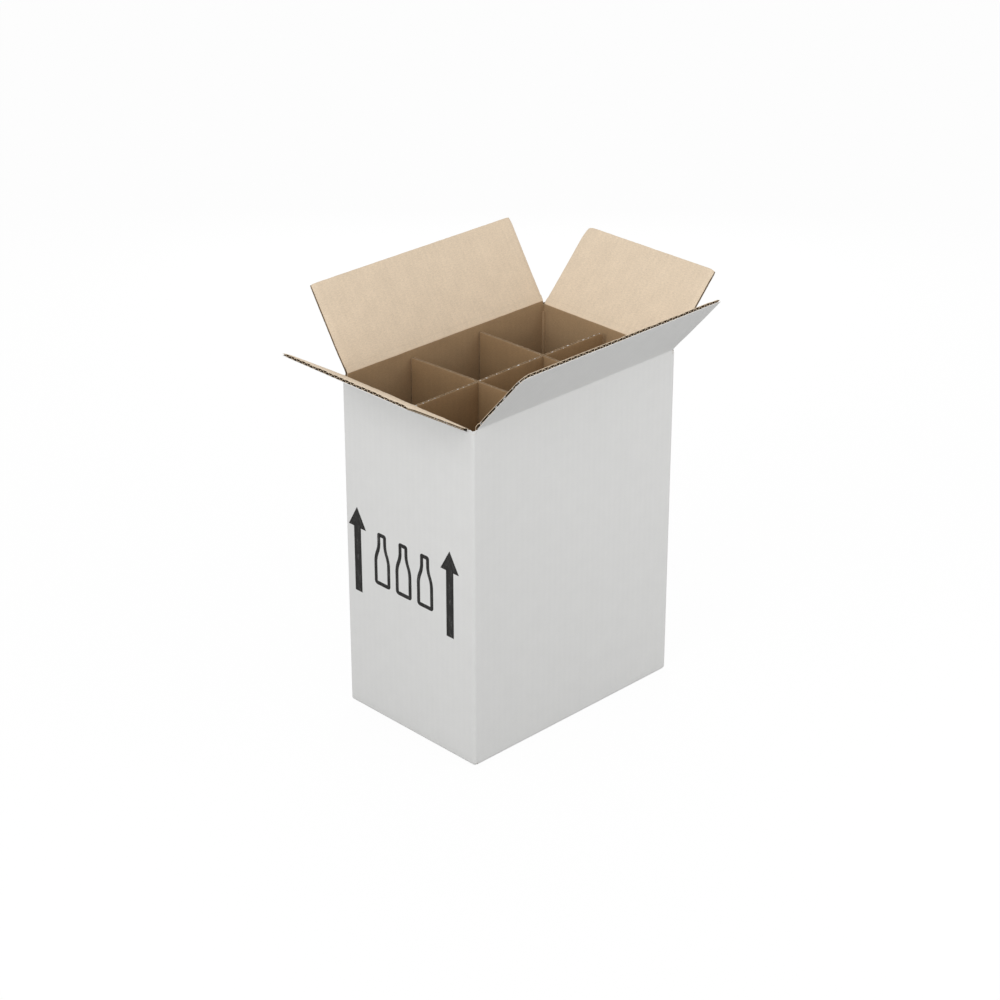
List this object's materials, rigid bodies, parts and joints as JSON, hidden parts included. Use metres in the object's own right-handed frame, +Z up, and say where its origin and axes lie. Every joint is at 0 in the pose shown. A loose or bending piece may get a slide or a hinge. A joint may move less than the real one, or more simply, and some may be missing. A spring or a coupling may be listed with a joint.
{
  "type": "bottle shipping box",
  "caption": "Tall slotted corrugated case, white outside and brown inside, with its top flaps standing open over a crossed partition that makes upright bottle cells.",
  "frame": {"origin": "middle of the case's underside, on the seam where the two long bottom flaps meet", "axes": "+Z up; +X along the longer side of the case, away from the printed end wall; +Y from the front long wall to the back long wall"},
  "size_m": [0.3849, 0.2689, 0.4081],
  "materials": {
    "white_lined_board": "matte white paper outside, brown paper inside",
    "brown_board": "matte brown paper"
  },
  "bodies": {
    "case": {"case_body": "white_lined_board", "long_divider": "brown_board", "left_cross_divider": "brown_board", "right_cross_divider": "brown_board"},
    "front_flap": {"front_top_flap": "white_lined_board"},
    "back_flap": {"back_top_flap": "white_lined_board"},
    "left_flap": {"left_top_flap": "white_lined_board"},
    "right_flap": {"right_top_flap": "white_lined_board"}
  },
  "joints": [
    {"name": "front_flap_fold", "type": "hinge", "parent": "case", "child": "front_flap", "pos_m": [0, -0.0845, 0.335], "axis": [-1, 0, 0], "range_deg": [-134, 131]},
    {"name": "back_flap_fold", "type": "hinge", "parent": "case", "child": "back_flap", "pos_m": [0, 0.0845, 0.335], "axis": [1, 0, 0], "range_deg": [-143, 122]},
    {"name": "left_flap_fold", "type": "hinge", "parent": "case", "child": "left_flap", "pos_m": [-0.128, 0, 0.3315], "axis": [0, 1, 0], "range_deg": [-117, 148]},
    {"name": "right_flap_fold", "type": "hinge", "parent": "case", "child": "right_flap", "pos_m": [0.128, 0, 0.3315], "axis": [0, -1, 0], "range_deg": [-132, 133]}
  ]
}
